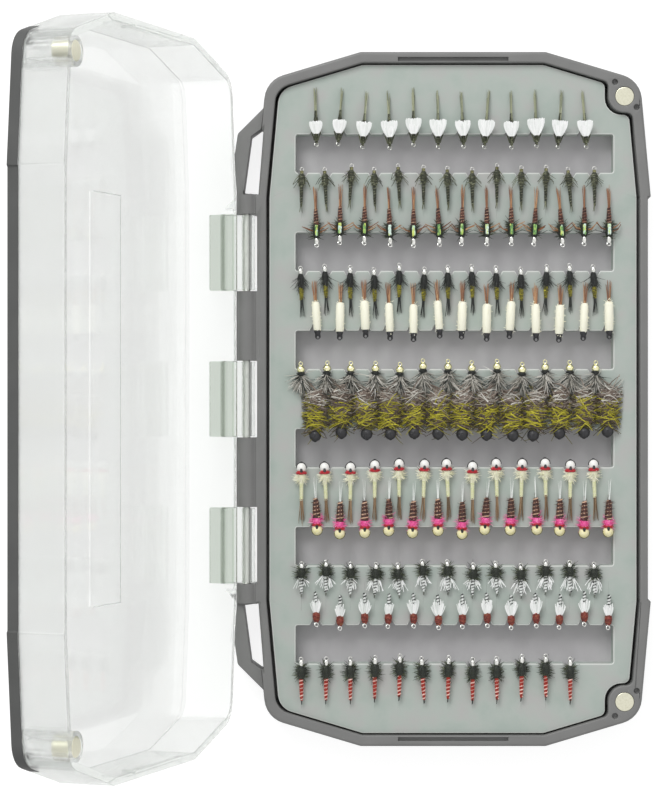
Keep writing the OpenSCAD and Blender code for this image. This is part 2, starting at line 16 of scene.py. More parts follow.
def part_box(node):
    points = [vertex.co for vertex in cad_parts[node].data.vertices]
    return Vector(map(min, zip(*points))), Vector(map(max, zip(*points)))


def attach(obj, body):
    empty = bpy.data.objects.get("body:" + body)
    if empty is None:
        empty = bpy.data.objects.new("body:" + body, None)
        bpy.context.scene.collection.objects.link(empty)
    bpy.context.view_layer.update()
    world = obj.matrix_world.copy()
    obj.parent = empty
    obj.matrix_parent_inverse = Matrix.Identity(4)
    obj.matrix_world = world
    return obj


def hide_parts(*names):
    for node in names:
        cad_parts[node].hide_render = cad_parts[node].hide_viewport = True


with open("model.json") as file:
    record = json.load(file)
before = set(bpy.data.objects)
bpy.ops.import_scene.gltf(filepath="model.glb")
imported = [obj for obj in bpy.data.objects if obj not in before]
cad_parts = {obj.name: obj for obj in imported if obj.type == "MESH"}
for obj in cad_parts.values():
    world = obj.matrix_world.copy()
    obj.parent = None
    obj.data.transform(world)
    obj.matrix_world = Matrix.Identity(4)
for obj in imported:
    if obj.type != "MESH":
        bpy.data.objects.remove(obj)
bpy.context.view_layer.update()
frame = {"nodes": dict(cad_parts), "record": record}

MM = 0.001
# Edges sharper than this are eased, and the others are left as they are.
SHARP = math.radians(20)
# Edges sharper than these stay crisp in the shading.
CRISP_PLASTIC = math.radians(38)
CRISP_FIBRE = math.radians(50)
# Points of a solid closer than WELD millimetres become one, and faces flatter than FLAT are joined.
WELD = 0.001
FLAT = math.radians(0.5)
# The share of what is seen that passes straight through clear plastic.
STRAIGHT_THROUGH = 0.3

# Camera: straight down over a point left of the tray's middle.
CAMERA_AT = (-31.7 * MM, -0.26 * MM, 714 * MM)
CAMERA_LENS = 119.65
SENSOR = 36

# Places on the tray, in millimetres, from the frame.
FOAM_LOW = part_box("slit_foam")[0].z / MM
FOAM_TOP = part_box("slit_foam")[1].z / MM
# A tray magnet's face lies MAGNET_SUNK under the rim.
MAGNET_SUNK = 0.05
TRAY_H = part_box("tray_magnet_top")[1].z / MM + MAGNET_SUNK
FLOOR_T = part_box("foam_backing")[0].z / MM
PIN_LOW, PIN_HIGH = (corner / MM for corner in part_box("hinge_pin"))
# The pads of the lid's lugs, which lie under PAD_TOP.
PAD_X = (-65.6, -57.2)
PAD_TOP = 13.6
LUG_PLACES = (-38.7, 0, 38.7)
LUG_HALF = 10.1
# The hinge's knuckles reach this far from the pin, sideways and past its ends.
HINGE_REACH = 5.5
HINGE_END = 2
# The lanyard loops: left of LOOP_X, and LOOP_HALF above and below LOOP_MIDDLE.
LOOP_X = -50
LOOP_MIDDLE = 5.15
LOOP_HALF = 3.8
# The small holes' floors and the magnets' lie above this height.
HOLE_FLOOR = 4
# How near two heights are to count as one: of an edge's ends, and of a wall's foot.
LEVEL = 0.02
FOOT = 0.1

# The foam's windows and slits.
WELLS = [o["box_m"] for o in frame["record"]["physics"]["openings"] if "fly_well" in o["name"]]
WELL_ROOM = (0.3, 0.1)
WINDOW_CORNER = 0.5
# The rows whose slits run up from each window, and those whose slits run down from it.
ROWS_ABOVE = ("emerger", "flashback", "grub", "bugger", "hotspot", "rust")
ROWS_BELOW = ("olive", "spider", "goldhead", "pale", "peacock", "ribbed")
SLIT_PITCH = 6.47
SLIT_L = 11.99
SLIT_HALF = 0.008
# Half widths of a slit's mouth: at the window's edge, where its sides would meet the edge, and
# where the rounding ends, MOUTH_FOOT deep. It closes at MOUTH_L.
MOUTH_W = 1.75
MOUTH_TURN = 1.53
MOUTH_FOOT_W = 1.15
MOUTH_FOOT = 0.7
MOUTH_L = 2.8
MOUTH_STEPS = 5
# How far a mouth keeps from the rounding of the window's corner.
MOUTH_CLEAR = 0.1
# The colour of the painted highlight along the rounded top of the foam's cut edges.
RIM_HIGHLIGHT = "e6e8e4"
FOAM_EASE = 0.4
CREASE_EASE = 0.01

# Hook wire.
WIRE = 0.4
BEND_R = 1.7
EYE_R = 0.6
POINT_L = 3
# Most fibres go no lower than this; the shank's axis is zero.
FIBRE_FLOOR = -0.95
# Each fly sits a little off its place: up to SLIP along its slit, and turned by YAW or so.
SLIP = 0.6
YAW = 0.035


# ---- materials ----


def linear(code):
    """A colour written as six hex digits, as the shader's linear numbers."""
    parts = [int(code[i : i + 2], 16) / 255 for i in (0, 2, 4)]
    return tuple(c / 12.92 if c <= 0.04045 else ((c + 0.055) / 1.055) ** 2.4 for c in parts) + (1.0,)


class Finish:
    """One procedural material, built node by node."""

    def __init__(self, name, **settings):
        self.material = bpy.data.materials.new(name)
        self.material.use_nodes = True
        self.tree = self.material.node_tree
        self.shader = self.tree.nodes["Principled BSDF"]
        self.output = self.tree.nodes["Material Output"]
        for socket, value in settings.items():
            label = socket.replace("_", " ").title().replace("Ior", "IOR")
            self.shader.inputs[label].default_value = value

    def node(self, kind, **settings):
        made = self.tree.nodes.new("ShaderNode" + kind)
        for key, value in settings.items():
            if key in made.inputs:
                made.inputs[key].default_value = value
            else:
                setattr(made, key, value)
        return made

    def link(self, a, b):
        self.tree.links.new(a, b)

    def place(self, stretch=(1, 1, 1)):
        """Object coordinates in millimetres, stretched along each axis."""
        source = self.node("TexCoord")
        scaled = self.node("Mapping")
        scaled.inputs["Scale"].default_value = [s / MM for s in stretch]
        self.link(source.outputs["Object"], scaled.inputs["Vector"])
        return scaled.outputs["Vector"]

    def noise(self, size, detail=3, stretch=(1, 1, 1)):
        """Noise whose lumps are about size millimetres across."""
        made = self.node("TexNoise", Scale=1 / size, Detail=detail)
        self.link(self.place(stretch), made.inputs["Vector"])
        return made.outputs["Fac"]

    def shade(self, noise_size=0.35, share=0.25):
        """Each strand's own shade, broken up by a little noise."""
        own = self.node("Attribute", attribute_name="shade")
        mix = self.node("Mix")
        mix.inputs["Factor"].default_value = share
        self.link(own.outputs["Fac"], mix.inputs["A"])
        self.link(self.noise(noise_size), mix.inputs["B"])
        return mix.outputs["Result"]

    def ramp(self, factor, stops):
        made = self.node("ValToRGB")
        marks = made.color_ramp.elements
        while len(marks) < len(stops):
            marks.new(0.5)
        for mark, (at, code) in zip(marks, stops):
            mark.position = at
            mark.color = linear(code)
        self.link(factor, made.inputs["Fac"])
        return made.outputs["Color"]

    def paint(self, colour):
        self.link(colour, self.shader.inputs["Base Color"])
        return self

    def rough(self, factor, low, high):
        made = self.node("MapRange")
        made.inputs["To Min"].default_value = low
        made.inputs["To Max"].default_value = high
        self.link(factor, made.inputs["Value"])
        self.link(made.outputs["Result"], self.shader.inputs["Roughness"])
        return self

    def bump(self, height, distance, strength=1.0):
        made = self.node("Bump", Distance=distance * MM, Strength=strength)
        self.link(height, made.inputs["Height"])
        self.link(made.outputs["Normal"], self.shader.inputs["Normal"])
        return self


def moulded(name, code, light, grain=0.12, roughness=(0.42, 0.56)):
    """Moulded plastic with a fine even grain and faint flow marks."""
    made = Finish(name)
    made.paint(made.ramp(made.noise(9, 2), [(0.3, code), (0.75, light)]))
    made.rough(made.noise(0.6), *roughness)
    return made.bump(made.noise(grain), 0.012).material


def clear_plastic(name="clear_plastic", tint="fdfdfd", shadow="f9faf9", haze=0.05):
    """Clear plastic, a little hazy, with a faint green cast that deepens with its thickness."""
    made = Finish(name, transmission_weight=0.93, roughness=haze, ior=1.45)
    made.shader.inputs["Base Color"].default_value = linear(tint)
    depth = made.node("VolumeAbsorption", Color=(0.87, 0.895, 0.87, 1), Density=50)
    made.link(depth.outputs["Volume"], made.output.inputs["Volume"])
    made.bump(made.noise(14, 1), 0.02, 0.25)
    return lets_light_through(made, shadow)


def lets_light_through(made, tint):
    """Lamps and soft light pass straight through, as they do through clear plastic, and so does
    part of what is seen, because the sheet is thin."""
    path = made.node("LightPath")
    either = made.node("Math", operation="MAXIMUM")
    least = made.node("Math", operation="MAXIMUM")
    least.inputs[1].default_value = STRAIGHT_THROUGH
    clear = made.node("BsdfTransparent", Color=linear(tint))
    mix = made.node("MixShader")
    made.link(path.outputs["Is Shadow Ray"], either.inputs[0])
    made.link(path.outputs["Is Diffuse Ray"], either.inputs[1])
    made.link(either.outputs["Value"], least.inputs[0])
    made.link(least.outputs["Value"], mix.inputs["Fac"])
    made.link(made.shader.outputs["BSDF"], mix.inputs[1])
    made.link(clear.outputs["BSDF"], mix.inputs[2])
    made.link(mix.outputs["Shader"], made.output.inputs["Surface"])
    return made.material


def foam(name, *codes):
    """Closed-cell foam: a cut skin with fine cells and soft patches, and a painted highlight along the
    top of its cut edges where the rim mark lies.
    """
    made = Finish(name, roughness=0.85, specular_ior_level=0.2)
    stops = [(0.3 + 0.4 * i / (len(codes) - 1), code) for i, code in enumerate(codes)]
    # The rim mark says where the painted highlight goes.
    rim = made.node("Attribute", attribute_name="rim")
    mix = made.node("Mix", data_type="RGBA")
    made.link(rim.outputs["Fac"], mix.inputs["Factor"])
    made.link(made.ramp(made.noise(7, 3), stops), mix.inputs[6])
    mix.inputs[7].default_value = linear(RIM_HIGHLIGHT)
    made.paint(mix.outputs[2])
    return made.bump(made.noise(0.25, 4), 0.03, 0.6).material


def metal(name, code, dark, roughness=0.25):
    """Plated metal with fine wear in its colour and gloss."""
    made = Finish(name, metallic=1.0)
    wear = made.noise(0.5, 4)
    made.paint(made.ramp(wear, [(0.25, dark), (0.6, code)]))
    return made.rough(wear, roughness * 0.7, roughness * 1.4).material


def enamel(name, code, light, gloss=0.5):
    """Paint over a bead."""
    made = Finish(name, coat_weight=gloss, coat_roughness=0.1)
    made.paint(made.ramp(made.noise(0.8), [(0.3, code), (0.7, light)]))
    return made.rough(made.noise(0.4), 0.6 - 0.7 * gloss, 0.7 - 0.6 * gloss).material


def fibre(name, *codes, roughness=0.55, sheen=0.25, glow=0.0):
    """Thread, hackle or wing fibre: each strand takes its shade from a run of colours."""
    made = Finish(name, sheen_weight=sheen, sheen_roughness=0.4, subsurface_weight=glow)
    made.shader.inputs["Subsurface Radius"].default_value = (0.4 * MM,) * 3
    stops = [(i / (len(codes) - 1), code) for i, code in enumerate(codes)]
    made.paint(made.ramp(made.shade(), stops))
    made.rough(made.noise(0.3), roughness - 0.1, roughness + 0.1)
    return made.bump(made.noise(0.08, 2), 0.01, 0.5).material


MATERIALS = {
    "hook_steel": lambda: metal("hook_steel", "a9aaa4", "8a8a84", 0.3),
    "silver_bead": lambda: metal("silver_bead", "eeeeea", "c8c8c2", 0.16),
    "gold_bead": lambda: metal("gold_bead", "f6f2ca", "dcd698", 0.2),
    "bronze_bead": lambda: metal("bronze_bead", "8f8c6a", "4f4c34", 0.25),
    "black_bead": lambda: enamel("black_bead", "1a1a1c", "2c2c30", gloss=0.1),
    "white_bead": lambda: enamel("white_bead", "f2f1ec", "fbfaf6"),
    "olive_thread": lambda: fibre("olive_thread", "15180f", "3a3e2c", "767a5c", "d2d6ba"),
    "brown_thread": lambda: fibre("brown_thread", "1d1210", "4a231a", "864830", "f8d6b6"),
    "cream_thread": lambda: fibre("cream_thread", "d8dcae", "eaecc4", "f3f1dc", "fbf8ec", glow=0.2),
    "red_thread": lambda: fibre("red_thread", "7a1c14", "b0301f", "c8452f", "fbe6da"),
    "rust_fibre": lambda: fibre("rust_fibre", "472816", "7a4e32", "a2744c", "cfaa80"),
    "cream_chenille": lambda: fibre("cream_chenille", "f3edc4", "f9f5d6", "fdfbe4", "fffef2", glow=0.2),
    "dark_hackle": lambda: fibre("dark_hackle", "0b0d0c", "1c211e", "3a3f3a", "74786e"),
    "gray_hackle": lambda: fibre("gray_hackle", "34352f", "85837a", "bcb8ae", "f0eee8"),
    "olive_hackle": lambda: fibre("olive_hackle", "1c1a0a", "4c4812", "a39b1e", "dcd446"),
    "peacock_herl": lambda: fibre("peacock_herl", "0c100b", "1e261a", "3e4630", "7e8664"),
    "white_wing": lambda: fibre("white_wing", "d2d8d4", "eef1ee", "fafbfa", "ffffff", glow=0.3),
    "hot_chenille": lambda: fibre("hot_chenille", "c81e70", "ee549e", "ff8ac4", "ffc4e2"),
    "rust_thread": lambda: fibre("rust_thread", "4c2015", "7d2b20", "a04838", "8a6a34"),
    "quill": lambda: fibre("quill", "5c6450", "747a62", "8c9072", "a9ad92"),
    "tan_fibre": lambda: fibre("tan_fibre", "4e4030", "6e5a40", "8a6e52", "b09878"),
    "umber_hackle": lambda: fibre("umber_hackle", "241a12", "54463a", "86786e", "cdbfb0"),
    "crimson_thread": lambda: fibre("crimson_thread", "8c1420", "c4202e", "dc3a44", "f8b0ac"),
    "lemon_bead": lambda: enamel("lemon_bead", "efe6a6", "f8f1cc", gloss=0.2),
    "pearl": lambda: fibre("pearl", "2c5a40", "8cc070", "dce870", "cfeedd", "f4faf4", roughness=0.3),
}
# Materials made so far, one for each slot.
MADE = {}


def look(slot):
    """The one material for a fly's slot, made when it is first asked for."""
    if slot not in MADE:
        MADE[slot] = MATERIALS[slot]()
    return MADE[slot]


# ---- pieces from the CAD solids ----


BASE_NODES = frame["record"]["behaviour"]["bodies"]["base"]


def cleaned(node):
    """A bmesh of a CAD solid without its triangulation or its specks of edges."""
    bm = bmesh.new()
    bm.from_mesh(frame["nodes"][node].data)
    bmesh.ops.remove_doubles(bm, verts=bm.verts, dist=WELD * MM)
    bmesh.ops.dissolve_limit(bm, angle_limit=FLAT, verts=bm.verts, edges=bm.edges)
    return bm


def dressed(node, name, material, bevels):
    """A copy of a CAD solid with its edges eased; bevels are (test, width, steps), widest first.
    Its flat faces are cut into even triangles first, because a bevel folds a many-sided face."""
    bm = cleaned(node)
    bmesh.ops.triangulate(bm, faces=bm.faces, quad_method="BEAUTY", ngon_method="BEAUTY")
    for test, width, steps in bevels:
        chosen = [e for e in bm.edges if is_crease(e) and test(e)]
        bmesh.ops.bevel(
            bm, geom=chosen, offset=width * MM, offset_type="OFFSET", segments=steps, profile=0.5,
            affect="EDGES", clamp_overlap=False, loop_slide=False,
        )
    return finished(name, bm, material, "base" if node in BASE_NODES else "lid", [node])


def is_crease(edge):
    return len(edge.link_faces) == 2 and edge.calc_face_angle(0) > SHARP


def finished(name, bm, material, body, nodes):
    """Turns a bmesh into a shaded piece that rides on a body and stands for CAD nodes."""
    mesh = bpy.data.meshes.new(name)
    bm.to_mesh(mesh)
    bm.free()
    mesh.shade_smooth()
    mesh.set_sharp_from_angle(angle=CRISP_PLASTIC)
    made = bpy.data.objects.new(name, mesh)
    bpy.context.scene.collection.objects.link(made)
    weighted = made.modifiers.new("even_normals", "WEIGHTED_NORMAL")
    weighted.keep_sharp = True
    mesh.materials.append(material)
    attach(made, body)
    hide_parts(*nodes)
    return made


def middle(edge):
    return (edge.verts[0].co + edge.verts[1].co) / 2 / MM


def level(edge, z):
    return all(abs(v.co.z / MM - z) < LEVEL for v in edge.verts)


def wall_foot(edge):
    """Lowest point of the upright face beside an edge."""
    walls = [f for f in edge.link_faces if abs(f.normal.z) < 0.3]
    return min((v.co.z / MM for f in walls for v in f.verts), default=TRAY_H)


def at_hinge(edge):
    at = middle(edge)
    beside = PIN_LOW.y - HINGE_END < at.y < PIN_HIGH.y + HINGE_END
    return at.x < PIN_LOW.x + HINGE_REACH and beside


def build_tray():
    gray = moulded("tray_plastic", "767675", "7d7d7c")

    def outer_rim(e):
        return level(e, TRAY_H) and wall_foot(e) < FOOT and not at_hinge(e)

    def underside(e):
        return level(e, 0) and wall_foot(e) < FOOT and not at_hinge(e)

    def pocket_rim(e):
        return level(e, TRAY_H) and abs(wall_foot(e) - FLOOR_T) < FOOT

    def loop_edge(e):
        at = middle(e)
        past_hinge = at.x < LOOP_X and abs(at.y) > PIN_HIGH.y + HINGE_END
        return past_hinge and abs(at.z - LOOP_MIDDLE) < LOOP_HALF and e.is_convex

    def small_hole(e):
        return level(e, TRAY_H) and wall_foot(e) > HOLE_FLOOR

    def hinge_edge(e):
        return at_hinge(e) and e.is_convex and e.calc_length() > 0.2 * MM

    dressed(
        "base_tray", "tray", gray,
        [
            (outer_rim, 0.75, 3), (underside, 0.9, 3), (pocket_rim, 0.3, 2), (loop_edge, 0.3, 2),
            (small_hole, 0.1, 2), (hinge_edge, 0.05, 1),
        ],
    )


def build_lid():
    shell = dressed("lid_shell", "lid", clear_plastic(), [(lambda e: True, 0.22, 2)])
    # The lugs' pads are the thickest plastic, so they look grayest and softest.
    shell.data.materials.append(clear_plastic("thick_plastic", "d4ddd2", "d2d9d0", haze=0.25))

    def on_pad(at, place):
        return PAD_X[0] < at.x < PAD_X[1] and abs(at.y - place) < LUG_HALF and at.z < PAD_TOP

    for face in shell.data.polygons:
        points = [shell.data.vertices[i].co / MM for i in face.vertices]
        face.material_index = int(any(all(on_pad(p, y) for p in points) for y in LUG_PLACES))
    soft = moulded("soft_grip", "4c4d4c", "535453", grain=0.2, roughness=(0.6, 0.75))
    dressed("lid_grip", "grip", soft, [(lambda e: True, 0.2, 2)])


def build_metal():
    bright = metal("magnet", "dedcc8", "d2d0ba", 0.3)
    steel = metal("pin_steel", "d6d8d2", "c4c6c0", 0.4)
    for name in ("tray_magnet_top", "tray_magnet_bottom", "lid_magnet_top", "lid_magnet_bottom"):
        dressed(name, name + "_disc", bright, [(lambda e: True, 0.15, 2)])
    dressed("hinge_pin", "pin", steel, [(lambda e: True, 0.2, 2)])


# ---- foam ----


def outline_of(node):
    """Corner points of a flat sheet's outline, anticlockwise from above, in millimetres."""
    bm = cleaned(node)
    bm.normal_update()
    after = {}
    for face in bm.faces:
        if face.normal.z > -0.9:
            continue
        for loop in face.loops:
            if all(abs(other.normal.z) < 0.9 for other in loop.edge.link_faces if other != face):
                after[loop.link_loop_next.vert] = loop.vert
    walk = [next(iter(after))]
    while after[walk[-1]] is not walk[0]:
        walk.append(after[walk[-1]])
    points = [v.co.xy / MM for v in walk]
    bm.free()
    return points


def sheet(name, loops, rings, material, nodes):
    """A flat sheet. Each loop is a list of (point, ease) with the material on its left: first the
    outline, then the holes. rings are (inset, height) up the cut edge. It is drawn in millimetres
    and scaled last."""
    bm = bmesh.new()
    rim = bm.verts.layers.float.new("rim")
    caps = [[], []]
    for loop in loops:
        count = len(loop)
        inward = []
        for i, (p, ease) in enumerate(loop):
            a = (p - loop[i - 1][0]).normalized()
            b = (loop[(i + 1) % count][0] - p).normalized()
            side = Vector((-a.y - b.y, a.x + b.x)).normalized()
            inward.append(side * ease / max(0.6, side.dot(Vector((-a.y, a.x)))))
        made = [
            [bm.verts.new((*(p + n * inset), height)) for (p, _), n in zip(loop, inward)]
            for inset, height in rings
        ]
        # The ring at the top of the rounded cut edge is marked to carry the painted highlight.
        for vert in made[-2]:
            vert[rim] = 1.0
        for lower, upper in zip(made, made[1:]):
            for i in range(count):
                j = (i + 1) % count
                bm.faces.new((lower[i], lower[j], upper[j], upper[i]))
        for cap, ring in zip(caps, (made[0], made[-1])):
            cap += [bm.edges.get((ring[i], ring[(i + 1) % count])) for i in range(count)]
    for cap, up in zip(caps, (-1, 1)):
        filled = bmesh.ops.triangle_fill(bm, use_beauty=True, edges=cap, normal=(0, 0, up))
        for face in filled["geom"]:
            if isinstance(face, bmesh.types.BMFace) and face.normal.z * up < 0:
                face.normal_flip()
    bmesh.ops.scale(bm, vec=(MM, MM, MM), verts=bm.verts)
    return finished(name, bm, material, "base", nodes)


def slit(x, y, out, ends):
    """Points into a slit and back out of it, from a rounded mouth to a closed crease. The mouth
    keeps clear of the window's two ends."""
    sides = []
    for side in (-out, out):
        width = min(MOUTH_W, abs(ends[side > 0] - x) - WINDOW_CORNER - MOUTH_CLEAR)
        walk = []
        for step in range(MOUTH_STEPS + 1):
            f = step / MOUTH_STEPS
            across = (1 - f) ** 2 * MOUTH_W + 2 * f * (1 - f) * MOUTH_TURN + f * f * MOUTH_FOOT_W
            walk.append((side * across * width / MOUTH_W, MOUTH_FOOT * f * f, 1.0))
        walk.append((side * SLIT_HALF, MOUTH_L, CREASE_EASE))
        walk.append((side * SLIT_HALF, SLIT_L, CREASE_EASE))
        sides += walk if side == -out else reversed(walk)
    return [(Vector((x + w, y + out * along)), ease) for w, along, ease in sides]


def corner(x, y, start):
    """A window's rounded corner, walked clockwise from the angle start."""
    steps = 3
    turns = [start - math.pi / 2 * k / steps for k in range(steps + 1)]
    return [
        (Vector((x, y)) + WINDOW_CORNER * Vector((math.cos(t), math.sin(t))), 1.0) for t in turns
    ]


def fly_places(pattern):
    """Where the flies of a row sit along it, from its hooks."""
    low, high = (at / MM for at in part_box(pattern + "_hooks"))
    count = 1 + round((high.x - low.x - WIRE) / SLIT_PITCH)
    return [low.x + WIRE / 2 + k * SLIT_PITCH for k in range(count)]


def window(well, above, below):
    """One window's hole, clockwise from above, with the slits that open into it."""
    low, high = (Vector(at[:2]) / MM for at in well)
    low, high = low - Vector(WELL_ROOM), high + Vector(WELL_ROOM)
    r = WINDOW_CORNER
    points = corner(low.x + r, high.y - r, math.pi)
    for x in above:
        points += slit(x, high.y, 1, (low.x, high.x))
    points += corner(high.x - r, high.y - r, math.pi / 2)
    points += corner(high.x - r, low.y + r, 0)
    for x in reversed(below):
        points += slit(x, low.y, -1, (low.x, high.x))
    points += corner(low.x + r, low.y + r, -math.pi / 2)
    return points


def build_foam():
    cut = foam("slit_foam", "adb8b1", "b4bcb6", "b8b9b6")
    wells = sorted(WELLS, key=lambda well: -well[0][1])
    outline = [(p, 1.0) for p in outline_of("foam_backing")]
    holes = [
        window(well, fly_places(above), fly_places(below))
        for well, above, below in zip(wells, ROWS_ABOVE, ROWS_BELOW)
    ]
    ease = FOAM_EASE
    rings = [
        (0, FOAM_LOW), (0, FOAM_TOP - ease), (ease * 0.3, FOAM_TOP - ease * 0.3), (ease, FOAM_TOP),
    ]
    sheet("foam_sheet", [outline, *holes], rings, cut, ["slit_foam"])
    backing = frame["nodes"]["foam_backing"].data
    backing.materials.clear()
    backing.materials.append(foam("backing_foam", "bab8ba", "bfbdbf", "c2c1c2"))


# ---- drawing tools for the flies ----


class Shape:
    """The points, faces and shades of one piece; place turns a fly's own frame into the box's."""

    def __init__(self):
        self.points = []
        self.faces = []
        self.shades = []
        self.place = Matrix()

    def rings(self, rings, shade, looped=False):
        """Skins a chain of rings of points, closed at both ends or joined up."""
        count = len(rings[0])
        first = len(self.points)
        for ring in rings:
            self.points += [self.place @ p for p in ring]
        shades = shade if isinstance(shade, list) else [shade] * len(rings)
        self.shades += [s for s in shades for _ in range(count)]
        for i in range(len(rings) if looped else len(rings) - 1):
            a = first + i * count
            b = first + (i + 1) % len(rings) * count
            for k in range(count):
                j = (k + 1) % count
                self.faces.append((a + k, a + j, b + j, b + k))
        if not looped:
            last = first + (len(rings) - 1) * count
            self.faces.append(tuple(first + k for k in reversed(range(count))))
            self.faces.append(tuple(last + k for k in range(count)))

    def tube(self, path, radii, shade, sides=6, looped=False):
        """A round wire along a path; radii is one number or one for each point."""
        path = [Vector(p) for p in path]
        radii = [radii] * len(path) if isinstance(radii, (int, float)) else radii
        count = len(path)
        side = None
        made = []
        for i, (p, r) in enumerate(zip(path, radii)):
            ahead = path[(i + 1) % count] if looped or i + 1 < count else p
            behind = path[i - 1] if looped or i else p
            along = (ahead - behind).normalized()
            if side is None:
                side = along.orthogonal()
            side = (side - along * side.dot(along)).normalized()
            up = along.cross(side)
            turns = [2 * math.pi * k / sides for k in range(sides)]
            made.append([p + (side * math.cos(t) + up * math.sin(t)) * r for t in turns])
        self.rings(made, shade, looped)

    def strand(self, path, width, shade, tip=0.25):
        """A fine three-sided fibre that thins towards its tip."""
        last = len(path) - 1
        radii = [width / 2 * (1 - (1 - tip) * i / last) for i in range(last + 1)]
        self.tube(path, radii, shade, sides=3)

    def lathe(self, profile, shade, sides=12, looped=False):
        """A solid turned round the shank from a profile of (u, radius)."""
        turns = [2 * math.pi * k / sides for k in range(sides)]
        made = [[Vector((r * math.sin(t), u, r * math.cos(t))) for t in turns] for u, r in profile]
        self.rings(made, shade, looped)

    def coil(self, u0, u1, radius, turns, wire, next_shade, start=0.0):
        """Thread or rib wire wound round the shank; radius is a function of u, and next_shade
        gives the shade of each short length."""
        steps = max(8, int(turns * 7))
        path = []
        for i in range(steps + 1):
            f = i / steps
            t = start + 2 * math.pi * turns * f
            r = radius(u0 + (u1 - u0) * f)
            path.append((r * math.sin(t), u0 + (u1 - u0) * f, r * math.cos(t)))
        self.tube(path, wire / 2, [next_shade() for _ in path], sides=3)

    def build(self, name, slot, nodes):
        mesh = bpy.data.meshes.new(name)
        mesh.from_pydata([p * MM for p in self.points], [], self.faces)
        shades = mesh.attributes.new("shade", "FLOAT", "POINT")
        shades.data.foreach_set("value", self.shades)
        mesh.shade_smooth()
        mesh.set_sharp_from_angle(angle=CRISP_FIBRE)
        mesh.materials.append(look(slot))
        made = bpy.data.objects.new(name, mesh)
        bpy.context.scene.collection.objects.link(made)
        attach(made, "base")
        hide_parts(*nodes)
        return made


def straight(u0, r0, u1, r1):
    """Radius along a straight taper, as a function of u."""
    return lambda u: r0 + (r1 - r0) * (u - u0) / (u1 - u0)


